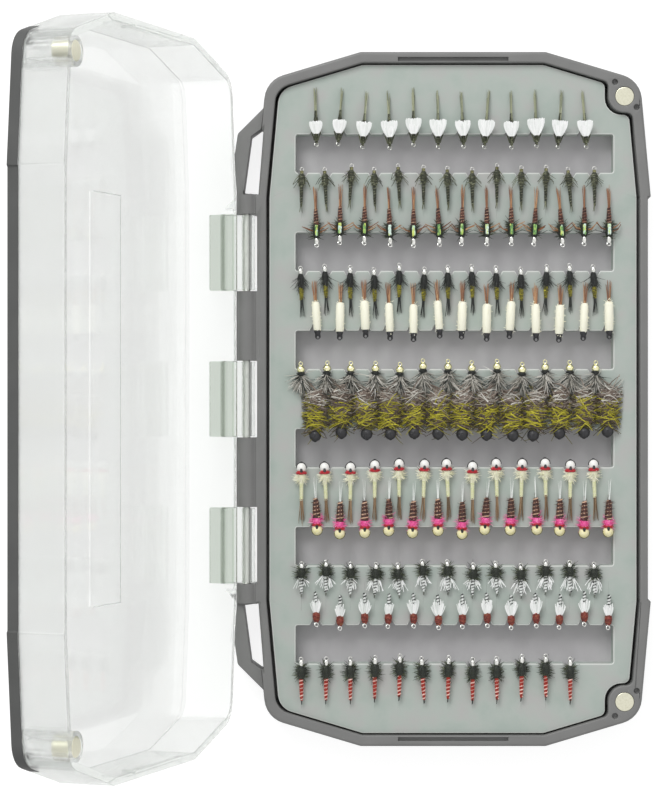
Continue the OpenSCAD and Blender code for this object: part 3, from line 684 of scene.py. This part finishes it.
class Row:
    """One row of flies of a pattern. It holds a shape for each piece and places each fly."""

    def __init__(self, pattern, side, seed):
        self.pattern = pattern
        self.chance = random.Random(seed)
        self.shapes = {}
        low, high = (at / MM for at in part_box(pattern + "_hooks"))
        self.shank = high.y - low.y - BEND_R - WIRE / 2
        self.side = side
        self.places = fly_places(pattern)
        self.tip = low.y if side > 0 else high.y
        self.height = high.z - EYE_R
        self.place = Matrix()

    def each(self):
        """Sets the place of each fly in turn, turned and shifted a little."""
        for place in self.places:
            turn = 0 if self.side > 0 else math.pi
            yaw = self.chance.gauss(0, YAW)
            slip = self.chance.uniform(-SLIP, SLIP)
            at = Matrix.Translation((place, self.tip, self.height))
            pivot = Matrix.Translation((0, self.shank, 0))
            self.place = (
                at @ Matrix.Rotation(turn, 4, "Z") @ Matrix.Translation((0, slip, 0)) @ pivot
                @ Matrix.Rotation(yaw, 4, "Z") @ pivot.inverted()
            )
            yield

    def on(self, piece, slot):
        """The shape of one piece, ready to draw this fly."""
        shape = self.shapes.setdefault((piece, slot), Shape())
        shape.place = self.place
        return shape

    def hook(self, eye_slot="hook_steel", slot="hook_steel"):
        """Hook wire from the eye round the bend to a barbed point in the foam."""
        wire = self.on("hooks", slot)
        r = WIRE / 2
        turns = [2 * math.pi * k / 14 for k in range(14)]
        eye = [
            (EYE_R * 0.8 * math.sin(t), EYE_R - EYE_R * 0.8 * math.cos(t), 0.12 * math.cos(t))
            for t in turns
        ]
        self.on("hooks", eye_slot).tube(eye, r * 0.72, 0.7, sides=7, looped=True)
        path = [(0, EYE_R * 1.75, 0), (0, self.shank * 0.6, 0)]
        for k in range(9):
            t = math.pi * k / 8
            path.append((0, self.shank + BEND_R * math.sin(t), BEND_R * (math.cos(t) - 1)))
        path.append((0, self.shank - POINT_L * 0.6, -2 * BEND_R))
        path.append((0, self.shank - POINT_L, -2 * BEND_R + 0.1))
        radii = [r] * (len(path) - 2) + [r * 0.8, r * 0.1]
        wire.tube(path, radii, 0.5, sides=7)
        barb = self.shank - POINT_L * 0.55
        wire.strand([(0, barb, -2 * BEND_R + 0.1), (0, barb + 0.5, -2 * BEND_R + 0.42)], r, 0.5)

    def bead(self, slot, u, r, length=None, piece="beads", bore=0.45, sides=16):
        """A drilled bead, round or a short barrel."""
        bead = self.on(piece, slot)
        half = (length or 2 * r) / 2
        round_to = min(1.0, half / r)
        steps = 9
        profile = []
        for k in range(steps + 1):
            t = math.pi * (k / steps - 0.5)
            bulge = r * (math.cos(t) ** (0.5 if length else 1))
            profile.append((u + half * math.sin(t), max(bore, bulge * round_to + r * (1 - round_to))))
        profile += [(u + half * 0.7, bore * 0.8), (u - half * 0.7, bore * 0.8)]
        bead.lathe(profile, 0.6, sides=sides, looped=True)

    def bead_ring(self, slot, u, r, height, wire, reach=100, piece="beads"):
        """A dark line round the front of a bead."""
        turns = [math.radians(reach * k / 5) for k in range(-5, 6)]
        ring = [(r * math.sin(t), u - r * math.cos(t), height) for t in turns]
        self.on(piece, slot).tube(ring, wire / 2, 0.2)

    def slot_shade(self, u, r, size, slot="black_bead", piece="beads"):
        """A dark mark on top of a slotted bead: painted shade standing for the hollow of its notch,
        which is not cut.
        """
        mark = self.on(piece, slot)
        start = len(mark.points)
        profile = [(u - size, 0.05), (u - size * 0.6, size * 0.55), (u + size, size * 0.7)]
        mark.lathe(profile, 0.1, sides=8)
        shift = Vector((0, 0, r))
        for i in range(start, len(mark.points)):
            mark.points[i] = mark.points[i] + shift

    def wound(self, slot, profile, thread=0.24, piece="bodies", shades=(0.3, 0.6)):
        """A body wound with thread: a core with a tight coil over each stretch of it."""
        body = self.on(piece, slot)
        body.lathe(profile, shades[0], sides=10)
        for (u0, r0), (u1, r1) in zip(profile, profile[1:]):
            if u1 - u0 > thread:
                taper = straight(u0, r0, u1, r1)
                turns = (u1 - u0) / thread
                body.coil(u0, u1, taper, turns, thread, lambda: self.chance.uniform(*shades))

    def rib(self, slot, u0, u1, r0, r1, turns, wire, shade=1.0, piece="bodies"):
        """Bright wire wound openly over a body."""
        taper = straight(u0, r0, u1, r1)
        start = self.chance.uniform(0, 6)
        self.on(piece, slot).coil(u0, u1, taper, turns, wire, lambda: shade, start)

    def tail(self, slot, u0, u1, count, spread, width, piece="bodies", drop=0.7, shades=(0.2, 0.9)):
        """A bundle of fibres that runs back and sinks towards the foam."""
        tail = self.on(piece, slot)
        pick = self.chance
        for _ in range(count):
            side = pick.uniform(-1, 1)
            end = u0 + (u1 - u0) * pick.uniform(0.75, 1)
            rise = pick.uniform(0, 0.4)
            path = []
            for f in (0, 0.25, 0.5, 0.75, 1):
                aside = side * spread * (0.35 + 0.65 * f**1.5)
                path.append((aside, u0 + (end - u0) * f, rise - (drop + rise) * f * f))
            tail.strand(path, width, pick.uniform(*shades))

    def hackle(
        self, slot, u0, u1, count, length, lean, width=0.22, piece="bodies", shades=(0, 1),
        root=0.5, flat=0.6, droop=0.4, curl=0.3, stray=0.25,
    ):
        """Fibres that stand out all round the shank between u0 and u1 and lean back by lean."""
        made = self.on(piece, slot)
        pick = self.chance
        for _ in range(count):
            turn = pick.uniform(-math.pi, math.pi)
            u = pick.uniform(u0, u1)
            reach = length * pick.uniform(0.5, 1)
            tilt = lean + pick.gauss(0, stray)
            out = Vector((math.sin(turn), 0, math.cos(turn) * flat))
            bend = pick.uniform(-curl, curl)
            path = []
            for f in (0, 1 / 3, 2 / 3, 1):
                far = root + (reach - root) * f
                aside = out * far * math.cos(tilt)
                height = max(aside.z - droop * f * f, FIBRE_FLOOR)
                path.append((aside.x + bend * f * f, u + far * math.sin(tilt), height))
            made.strand(path, width, pick.uniform(*shades))

    def tangle(self, slot, u0, u1, count, reach, width, piece, shades, lift=1.1, slant=0.45):
        """Curled fibres that cross over the body and hang out at both sides."""
        made = self.on(piece, slot)
        pick = self.chance
        for _ in range(count):
            side = pick.choice((-1, 1))
            start = -side * reach * pick.uniform(0, 0.6)
            end = side * reach * pick.uniform(0.35, 1)
            u = pick.uniform(u0, u1)
            drift = pick.gauss(0, slant) * reach
            bend = pick.uniform(-0.8, 0.8)
            top = lift * pick.uniform(0.7, 1.2)
            path = []
            for f in (0, 0.25, 0.5, 0.75, 1):
                w = start + (end - start) * f
                out = min(1, abs(w) / reach)
                height = FIBRE_FLOOR + (top - FIBRE_FLOOR) * math.cos(math.pi / 2 * out)
                path.append((w, u + drift * f + bend * math.sin(math.pi * f), height))
            made.strand(path, width, pick.uniform(*shades), tip=0.4)

    def wing(
        self, slot, u0, u1, w0, w1, count, height, width=0.3, piece="wings", shades=(0.2, 1),
        lobes=0.0, tuck=0.0, stray=0.14, wild=0.0,
    ):
        """A fan of fibres that opens like a tulip; lobes parts its end, tuck draws it in, and
        stray and wild make its ends uneven."""
        made = self.on(piece, slot)
        pick = self.chance
        size = pick.uniform(0.75, 1.05)
        for i in range(count):
            side = -1 + 2 * (i + pick.random()) / count
            dip = lobes * abs(abs(side) - 0.55) + pick.uniform(0, stray)
            bend = pick.uniform(-wild, wild)
            end = u0 + (u1 - u0) * size * (1 - dip)
            rise = height + pick.uniform(-0.14, 0.14)
            path = []
            for f in (0, 0.25, 0.5, 0.75, 1):
                open_by = math.sin(math.pi / 2 * (1 + tuck) * f)
                aside = side * (w0 + (w1 * size - w0) * open_by) + bend * f * f
                path.append((aside, u0 + (end - u0) * f, rise + 0.3 * f - 0.25 * side * side * f))
            made.strand(path, width, pick.uniform(*shades), tip=0.8)

    def legs(self, slot, u, pairs, reach, back, piece="legs", width=0.3, shades=(0.1, 0.8)):
        """Jointed legs swept out and back from the thorax."""
        made = self.on(piece, slot)
        pick = self.chance
        for pair in range(pairs):
            for side in (-1, 1):
                start = u + pair * 0.6 + pick.uniform(-0.3, 0.3)
                knee = reach * pick.uniform(0.45, 0.65)
                foot = reach * pick.uniform(0.75, 1.05)
                path = [
                    (side * 0.7, start, 0.2),
                    (side * knee, start + back * pick.uniform(0.1, 0.5), 0.4),
                    (side * foot, start + back * pick.uniform(0.7, 1.2), -0.4),
                ]
                made.strand(path, width, pick.uniform(*shades), tip=0.5)

    def flash(self, u0, u1, half=0.5):
        """The pearly strip over a thorax: a few uneven glints side by side."""
        pick = self.chance
        strip = self.on("bodies", "pearl")
        own = pick.random()
        for side in (-0.5, 0, 0.5):
            u = u0 + pick.uniform(0, 0.3)
            while u < u1 - 0.3:
                end = min(u1, u + pick.uniform(0.5, 1.4))
                aside = side * half + pick.uniform(-0.08, 0.08)
                shade = min(1, max(0, own + pick.gauss(0, 0.25)))
                path = [(aside, u, 1.0), (aside, (u + end) / 2, 1.16), (aside, end, 1.0)]
                strip.tube(path, [half * 0.42, half * 0.55, half * 0.4], shade)
                u = end + pick.uniform(-0.1, 0.15)

    def finish(self):
        """One object for each piece; each stands for the CAD nodes of its part of the fly."""
        for (piece, slot), shape in self.shapes.items():
            shape.build(f"{self.pattern}_{piece}_{slot}", slot, [f"{self.pattern}_{piece}"])


# ---- the twelve patterns ----


def emerger(row):
    row.hook()
    row.wound("olive_thread", [(1.0, 0.3), (1.8, 0.46), (3.8, 0.56)], shades=(0.1, 1))
    for side in (-1, 1):
        bud = [(side * 0.45, 1.7, 0.3), (side * 0.75, 2.7, 0.5), (side * 1.2, 3.9, 0.5)]
        row.on("bodies", "olive_thread").strand(bud, 0.55, row.chance.uniform(0.1, 0.4), tip=0.8)
    row.hackle("olive_thread", 1.6, 3.4, 16, 1.1, 0.5)
    row.wound("olive_thread", [(6.8, 0.7), (8.0, 0.42), (9.6, 0.3)], shades=(0, 0.5))
    row.tail("quill", 6.8, 16.0, 12, 0.42, 0.5, drop=0.95, shades=(0.1, 1))
    row.wing("white_wing", 3.6, 7.9, 0.75, 2.15, 46, 0.9, width=0.42, lobes=0.1, tuck=0.1)
    row.wing("white_wing", 3.4, 7.2, 0.5, 1.6, 24, 1.1, width=0.4, lobes=0.2, stray=0.3)


def olive(row):
    row.hook("silver_bead")
    row.bead("bronze_bead", 1.4, 0.48)
    row.wound("olive_thread", [(1.7, 0.5), (2.3, 0.85), (4.2, 0.9), (5, 0.5)], shades=(0, 1))
    row.hackle("olive_thread", 1.8, 4.9, 70, 1.7, 0.5)
    row.legs("olive_thread", 2.4, 3, 2.5, 2.0, piece="bodies", width=0.26, shades=(0, 0.7))
    row.wound("olive_thread", [(4.9, 0.5), (8.4, 0.38), (10.4, 0.24)], thread=0.3, shades=(0, 0.5))
    row.rib("olive_thread", 5.1, 10.2, 0.52, 0.28, 7, 0.16, shade=0.9)
    row.tail("olive_thread", 9.8, 12.2, 6, 0.5, 0.24, drop=0.6)


def flashback(row):
    row.hook("silver_bead")
    row.bead("silver_bead", 1.75, 0.66, length=1.8)
    row.wound("peacock_herl", [(2.5, 0.7), (3.2, 1), (5.4, 1), (6.1, 0.7)], shades=(0, 0.4))
    row.hackle("peacock_herl", 2.6, 6.0, 130, 2.7, 0.35, stray=0.5, width=0.26)
    row.flash(3.0, 5.8, 0.42)
    row.legs("rust_fibre", 4.0, 2, 3.6, 1.8, width=0.42, shades=(0, 1))
    row.legs("dark_hackle", 3.6, 1, 3.4, 1.0, shades=(0.2, 1))
    row.wound("brown_thread", [(6, 0.68), (8, 0.62), (10.2, 0.42)], thread=0.3, shades=(0, 0.7))
    row.rib("brown_thread", 6.2, 10.1, 0.72, 0.48, 5, 0.2)
    row.tail("rust_fibre", 9.6, 16.4, 13, 0.6, 0.3, drop=0.95, shades=(0, 0.9))


def spider(row):
    row.hook("silver_bead")
    row.bead("silver_bead", 1.5, 0.68, length=1.4)
    row.wound("dark_hackle", [(2.2, 0.6), (3.2, 0.9), (5, 0.8), (6, 0.5)], shades=(0, 0.3))
    row.hackle("dark_hackle", 2.3, 5.4, 60, 1.6, 0.6, shades=(0, 0.8), stray=0.5)
    row.hackle("dark_hackle", 2.3, 4.2, 56, 4.2, 1.0, shades=(0, 1), curl=1.0, width=0.25)
    row.wound("olive_hackle", [(5.8, 0.5), (7, 0.58), (9, 0.4)], thread=0.32, shades=(0.3, 1))
    row.hackle("umber_hackle", 5.8, 8.8, 16, 1.2, 0.7, width=0.22, shades=(0.3, 1))
    row.tail("dark_hackle", 8.6, 13.8, 9, 0.8, 0.34, drop=0.9, shades=(0, 0.5))


def grub(row):
    row.hook("black_bead")
    head = row.on("heads", "black_bead")
    head.lathe([(1.0, 0.4), (1.3, 0.66), (2.0, 0.88), (2.5, 0.9), (2.7, 0.5)], 0.3)
    for side in (-1, 1):
        nub = [(side * 0.42, 1.4, 0.1), (side * 0.5, 0.75, 0.1), (side * 0.52, 0.35, 0.05)]
        head.tube(nub, [0.3, 0.28, 0.18], 0.2)
    stout = row.chance.uniform(0.86, 1.04)
    body = [(2.3, 0.9), (2.7, 1.12), (6, 1.18), (9.3, 1.16), (9.9, 0.9), (10.1, 0.4)]
    body = [(u, r * stout) for u, r in body]
    row.on("bodies", "cream_chenille").lathe(body, 0.8, sides=16)
    row.hackle(
        "cream_chenille", 2.4, 9.9, 300, 1.62 * stout, 0.0, shades=(0.4, 1), root=0.95, flat=0.95,
        width=0.32, droop=0.1, stray=1.1,
    )
    row.tail("rust_fibre", 9.4, 15.8, 16, 0.85, 0.34, drop=0.9, shades=(0, 1))


def goldhead(row):
    row.hook(eye_slot="gold_bead")
    row.bead("gold_bead", 2.1, 1.08)
    collar = [(2.8, 0.8), (3.1, 1.1), (3.5, 1.0), (3.9, 0.5)]
    row.wound("dark_hackle", collar, shades=(0, 0.3), piece="hackles")
    row.hackle("dark_hackle", 2.9, 3.8, 30, 1.7, 0.4, piece="hackles", shades=(0, 0.6))
    row.wound("gray_hackle", [(3.8, 0.5), (7.4, 0.3)], shades=(0, 0.6), piece="hackles")
    for slot, count, shades in (("gray_hackle", 130, (0.3, 1)), ("dark_hackle", 46, (0, 1))):
        row.hackle(
            slot, 3.2, 5.6, count, 5.2, 0.85, width=0.3, piece="hackles", shades=shades,
            stray=0.4, curl=0.9,
        )


def bugger(row):
    row.hook("black_bead")
    row.bead("black_bead", 1.75, 1.6)
    row.slot_shade(1.6, 1.3, 0.5)
    body = [(3, 0.8), (4.5, 0.95), (9.5, 0.85), (11.5, 0.5)]
    row.wound("olive_hackle", body, thread=0.4, shades=(0, 0.2), piece="hackles")
    # The fibres' mixed colours are their own, but the darkest lie lowest and the brightest highest:
    # painted shade deep in the tangle and painted highlight on top.
    groups = (
        ("umber_hackle", 3.4, 12.6, 100, (0, 0.3), 0.7), ("olive_hackle", 3.4, 10.6, 90, (0, 0.5), 0.9),
        ("umber_hackle", 4.0, 10.6, 64, (0, 0.5), 1.15), ("olive_hackle", 4.0, 10.0, 54, (0.5, 1), 1.2),
        ("umber_hackle", 8.8, 13.2, 60, (0.3, 1), 1.1), ("gray_hackle", 9.8, 13.2, 20, (0.3, 1), 1.2),
    )
    for slot, u0, u1, count, shades, lift in groups:
        row.tangle(slot, u0, u1, count, 3.9, 0.38, "hackles", shades, lift)


def pale(row):
    row.hook("black_bead")
    row.bead("white_bead", 1.6, 1.38)
    row.slot_shade(2.3, 1.1, 0.6)
    row.bead_ring("black_bead", 1.6, 1.3, 0.5, 0.3)
    row.wound("crimson_thread", [(2.6, 1.1), (2.9, 1.46), (3.3, 1.44), (3.5, 1)], shades=(0.1, 0.8))
    row.hackle(
        "cream_thread", 3.3, 4.8, 160, 2.5, 0.3, shades=(0.4, 1), root=0.6, flat=0.8, stray=0.5,
        width=0.28,
    )
    row.wound("cream_thread", [(3.4, 1), (4.4, 1), (5.4, 0.58), (6, 0.5)], shades=(0.5, 1))
    row.wound("cream_thread", [(5.8, 0.5), (10.4, 0.44)], thread=0.32, shades=(0, 1))
    row.tail("tan_fibre", 10.0, 17.2, 12, 0.8, 0.34, drop=0.95, shades=(0, 1))


def hotspot(row):
    row.hook()
    row.bead("lemon_bead", 1.6, 1.42)
    # The bronze ring round the bead's front is painted shade along its outline, and the mark on its
    # back is painted shade in the notch.
    row.bead_ring("bronze_bead", 1.6, 1.38, 0.4, 0.3)
    row.slot_shade(2.3, 1.1, 0.62)
    row.wound("crimson_thread", [(2.6, 1.1), (2.9, 1.38), (3.3, 1.3)], shades=(0, 0.6))
    row.wound("hot_chenille", [(3.1, 1), (3.5, 1.1), (4.6, 1.05), (5, 0.8)], shades=(0.1, 1))
    row.hackle("hot_chenille", 3.0, 5.0, 180, 2.35, 0.1, width=0.28, flat=0.8, stray=0.9)
    row.wound("brown_thread", [(4.8, 1.05), (7, 0.95), (9, 0.75), (10, 0.45)], shades=(0, 0.55))
    row.hackle("brown_thread", 4.9, 9.6, 70, 1.6, 0.2, width=0.2, shades=(0, 0.5), stray=0.5)
    row.rib("brown_thread", 5.0, 9.9, 1.12, 0.62, 5, 0.34)
    row.rib("brown_thread", 5.0, 9.9, 1.12, 0.62, -4, 0.16, shade=0.85)
    row.tail("white_wing", 9.6, 15.8, 5, 0.6, 0.18, drop=0.9, shades=(0, 0.4))


def peacock(row):
    row.hook("silver_bead")
    row.bead("silver_bead", 1.4, 0.66, length=1.3)
    row.wound("peacock_herl", [(1.9, 0.7), (2.6, 1.1), (3.8, 1.1), (4.4, 0.7)], shades=(0, 0.6))
    row.hackle("peacock_herl", 1.9, 4.3, 190, 2.9, 0.2, stray=0.7, width=0.26)
    row.wound("white_wing", [(4.2, 0.5), (7.6, 0.42), (8.6, 0.24)], shades=(0.2, 0.5))
    row.rib("dark_hackle", 4.6, 8.5, 0.54, 0.34, 5, 0.36, shade=0.05)
    row.wing(
        "white_wing", 3.8, 8.4, 0.5, 2.0, 26, -0.1, width=0.24, shades=(0, 1), stray=0.5, wild=1.2
    )


def rust(row):
    row.hook("silver_bead")
    row.bead("silver_bead", 1.3, 0.5, length=0.5)
    head = [(1.3, 0.5), (1.8, 0.85), (2.8, 1.02), (3.7, 0.9), (4.1, 0.5)]
    row.wound("rust_thread", head, thread=0.3, shades=(0, 1))
    row.wing(
        "white_wing", 3.6, 8.2, 0.5, 1.6, 26, 0.4, lobes=0.6, shades=(0, 0.9), stray=0.2, wild=0.25
    )
    row.wound("white_wing", [(4.1, 0.5), (7.6, 0.42), (9.2, 0.28)], shades=(0.2, 0.5))
    row.rib("dark_hackle", 6.4, 9.3, 0.5, 0.36, 3.5, 0.38, shade=0.05)


def ribbed(row):
    row.hook("silver_bead")
    row.bead("silver_bead", 1.75, 0.66, length=1.8)
    row.wound("peacock_herl", [(2.5, 0.7), (3.2, 1.15), (5, 1.15), (5.8, 0.7)], shades=(0, 0.6))
    row.hackle("peacock_herl", 2.4, 5.6, 220, 2.8, 0.1, stray=0.8, width=0.26)
    row.wound("red_thread", [(5.6, 0.56), (8.5, 0.52), (11.6, 0.3)], shades=(0.1, 0.6))
    row.rib("red_thread", 5.9, 11.3, 0.6, 0.4, 5.5, 0.4)
    row.tail("dark_hackle", 11.2, 12.8, 4, 0.15, 0.34, drop=0.3, shades=(0, 0.3))


PATTERNS = [
    (emerger, 1), (olive, -1), (flashback, 1), (spider, -1), (grub, 1), (goldhead, -1),
    (bugger, 1), (pale, -1), (hotspot, 1), (peacock, -1), (rust, 1), (ribbed, -1),
]


def build_flies():
    for number, (draw, side) in enumerate(PATTERNS):
        row = Row(draw.__name__, side, seed=100 + number)
        for _ in row.each():
            draw(row)
        row.finish()


# ---- camera, floor and light ----


def build_camera():
    made = bpy.data.cameras.new("camera")
    made.sensor_width = SENSOR
    made.lens = CAMERA_LENS
    made.clip_start = 0.01
    camera = bpy.data.objects.new("camera", made)
    camera.location = CAMERA_AT
    bpy.context.scene.collection.objects.link(camera)
    bpy.context.scene.camera = camera


def seen_directly(tree, outputs):
    """One where the eye, a mirror or glass looks, and zero for soft light."""
    path = tree.nodes.new("ShaderNodeLightPath")
    seen = path.outputs[outputs[0]]
    for name in outputs[1:]:
        either = tree.nodes.new("ShaderNodeMath")
        either.operation = "MAXIMUM"
        tree.links.new(seen, either.inputs[0])
        tree.links.new(path.outputs[name], either.inputs[1])
        seen = either.outputs["Value"]
    return seen


SEEN = ("Is Camera Ray", "Is Glossy Ray", "Is Transmission Ray")
FLOOR_HALF = 3
FLOOR_DROP = 0.02
FLOOR_ALBEDO = 0.3
FLOOR_GLOW = 0.84
SOFT_LIGHT = 0.65


def build_floor():
    made = Finish("floor", roughness=0.9, specular_ior_level=0.0)
    made.shader.inputs["Base Color"].default_value = (FLOOR_ALBEDO,) * 3 + (1,)
    glow = made.node("Emission", Color=(1, 1, 1, 1))
    strength = made.node("Math", operation="MULTIPLY")
    strength.inputs[1].default_value = FLOOR_GLOW
    both = made.node("AddShader")
    made.link(seen_directly(made.tree, SEEN), strength.inputs[0])
    made.link(strength.outputs["Value"], glow.inputs["Strength"])
    made.link(made.shader.outputs["BSDF"], both.inputs[0])
    made.link(glow.outputs["Emission"], both.inputs[1])
    made.link(both.outputs["Shader"], made.output.inputs["Surface"])
    bm = bmesh.new()
    bmesh.ops.create_grid(bm, x_segments=1, y_segments=1, size=FLOOR_HALF)
    mesh = bpy.data.meshes.new("floor")
    bm.to_mesh(mesh)
    bm.free()
    mesh.materials.append(made.material)
    floor = bpy.data.objects.new("floor", mesh)
    floor.location.z = -FLOOR_DROP * MM
    bpy.context.scene.collection.objects.link(floor)


def build_world():
    world = bpy.data.worlds.new("studio")
    world.use_nodes = True
    bpy.context.scene.world = world
    tree = world.node_tree
    back = tree.nodes["Background"]
    back.inputs["Color"].default_value = (1, 1, 1, 1)
    mix = tree.nodes.new("ShaderNodeMix")
    mix.inputs["A"].default_value = SOFT_LIGHT
    mix.inputs["B"].default_value = 1.0
    tree.links.new(seen_directly(tree, SEEN), mix.inputs["Factor"])
    tree.links.new(mix.outputs["Result"], back.inputs["Strength"])


def lamp(name, place, size, watts):
    made = bpy.data.lights.new(name, "AREA")
    made.shape = "RECTANGLE"
    made.size, made.size_y = size
    made.energy = watts
    lit = bpy.data.objects.new(name, made)
    lit.location = place
    lit.rotation_euler = (-Vector(place)).to_track_quat("-Z", "Y").to_euler()
    bpy.context.scene.collection.objects.link(lit)


build_camera()
build_floor()
build_world()
lamp("key", (-0.5, 1.3, 1.2), (1.0, 0.8), 18)
build_tray()
build_foam()
build_lid()
build_metal()
build_flies()


# ---- view settings ----

bpy.context.scene.view_settings.view_transform = "Standard"
bpy.context.view_layer.update()
